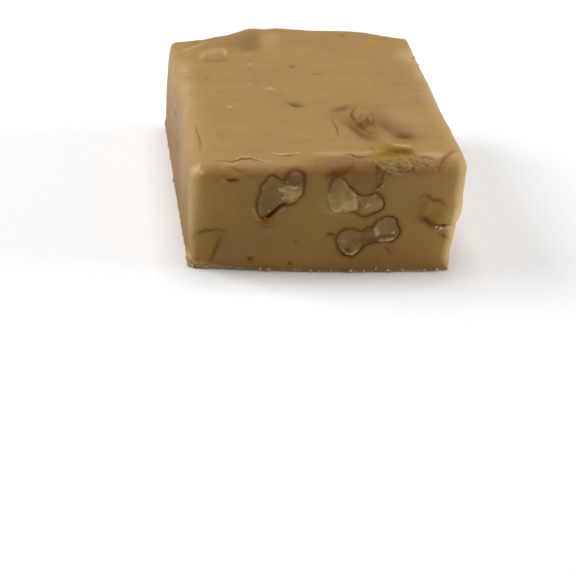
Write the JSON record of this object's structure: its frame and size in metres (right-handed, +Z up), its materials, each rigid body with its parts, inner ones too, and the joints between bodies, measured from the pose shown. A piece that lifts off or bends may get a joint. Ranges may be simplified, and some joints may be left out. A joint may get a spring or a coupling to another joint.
{
  "type": "walnut fudge",
  "caption": "Hand-cut square of plain brown fudge with walnut pieces laid bare in its cut sides, top edge and top.",
  "frame": {"origin": "centre of the flat underside", "axes": "+Z up through the block's thickness, +Y from the front cut face to the back, +X to the right as seen from the front"},
  "size_m": [0.0576, 0.062, 0.0268],
  "materials": {
    "fudge": "dense plain brown fudge, smooth and faintly waxy on top, matt where cut",
    "walnut": "walnut kernel, matt tan flesh with a thin brown skin"
  },
  "bodies": {
    "root": {"fudge_block": "fudge", "walnut_front_heart": "walnut", "walnut_front_fork": "walnut", "walnut_front_bone": "walnut", "walnut_left_foot": "walnut", "walnut_right_edge": "walnut", "walnut_rim": "walnut", "walnut_top": "walnut", "walnut_right_long": "walnut", "walnut_right_curl": "walnut", "walnut_right_low": "walnut", "walnut_back_wing": "walnut", "walnut_back_round": "walnut", "walnut_back_sliver": "walnut"}
  },
  "joints": []
}
